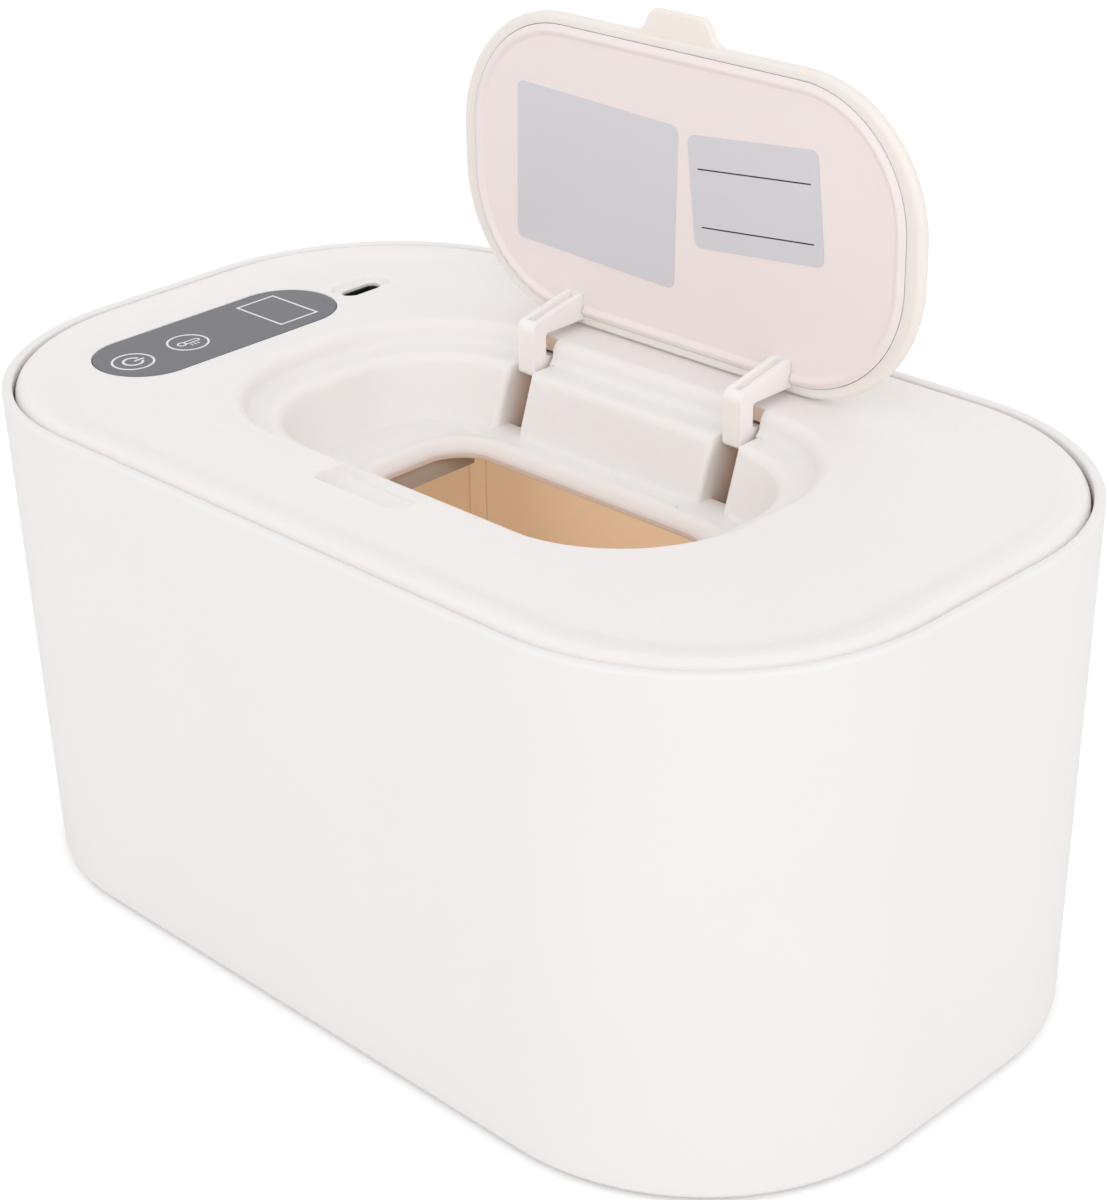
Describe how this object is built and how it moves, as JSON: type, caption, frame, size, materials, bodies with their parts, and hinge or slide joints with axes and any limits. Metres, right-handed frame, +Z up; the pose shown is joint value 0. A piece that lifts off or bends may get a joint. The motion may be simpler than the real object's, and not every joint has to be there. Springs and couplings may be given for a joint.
{
  "type": "baby wipe warmer",
  "caption": "Rounded oblong baby wipe warmer: white tub, lift-off top with controls and heater, and a small flip-up lid over a dispensing opening.",
  "frame": {"origin": "middle of the footprint, on the surface that the feet stand on", "axes": "+X along the length, away from the control window; -Y towards the user; +Z up"},
  "size_m": [0.21, 0.1264, 0.1663],
  "materials": {
    "shell_white": "satin moulded ABS, warm white",
    "cover_cream": "fine satin moulded ABS, warm cream white",
    "panel_cream": "fine satin moulded ABS, slightly pinker cream",
    "arm_cream": "satin moulded POM, ivory",
    "plate_white": "matt moulded ABS",
    "tub_tan": "satin moulded PP, warm tan",
    "foam": "closed-cell foam",
    "steel": "bright zinc-plated or stainless steel",
    "feet_rubber": "soft matt rubber",
    "seal_silicone": "translucent silicone",
    "heater_aluminium": "anodised, fine brushed",
    "film_amber": "polyimide film with etched heating track",
    "fuse_body": "ceramic",
    "black_plastic": "black",
    "wire_red": "silicone insulation",
    "wire_white": "PVC insulation",
    "wire_black": "PVC insulation",
    "lens_grey": "smoked grey acrylic with a satin front",
    "print_white": "white screen print",
    "board_green": "solder mask",
    "label_silver": "matt silver polyester sticker, blank"
  },
  "bodies": {
    "base": {"outer_shell": "shell_white", "inner_tub": "tub_tan", "insulation_sleeve": "foam", "insulation_pad": "foam", "tub_screws": "steel", "rubber_feet": "feet_rubber"},
    "cover": {"top_cover": "cover_cream", "cover_seal": "seal_silicone", "under_plate": "plate_white", "under_plate_screws": "steel", "heater_plate": "heater_aluminium", "heating_film": "film_amber", "thermal_fuse": "fuse_body", "ntc_sensor": "black_plastic", "heater_leads": "wire_red", "sensor_leads": "wire_white", "control_lens": "lens_grey", "key_symbols": "print_white", "display_module": "black_plastic", "control_board": "board_green", "board_screws": "steel", "touch_springs": "steel", "usb_socket": "steel", "usb_tongue": "black_plastic", "usb_board": "board_green", "power_leads": "wire_black", "hinge_pins": "steel"},
    "lid": {"lid_outer": "cover_cream", "lid_inner_panel": "panel_cream", "hinge_arm_left": "arm_cream", "hinge_arm_right": "arm_cream", "label_large": "label_silver", "label_small": "label_silver"}
  },
  "joints": [
    {"name": "cover_lift", "type": "slide", "parent": "base", "child": "cover", "axis": [0, 0, 1], "range_m": [0, 0.06]},
    {"name": "lid_hinge", "type": "hinge", "parent": "cover", "child": "lid", "pos_m": [0, 0.0376, 0.0925], "axis": [1, 0, 0], "range_deg": [0, 90]}
  ]
}
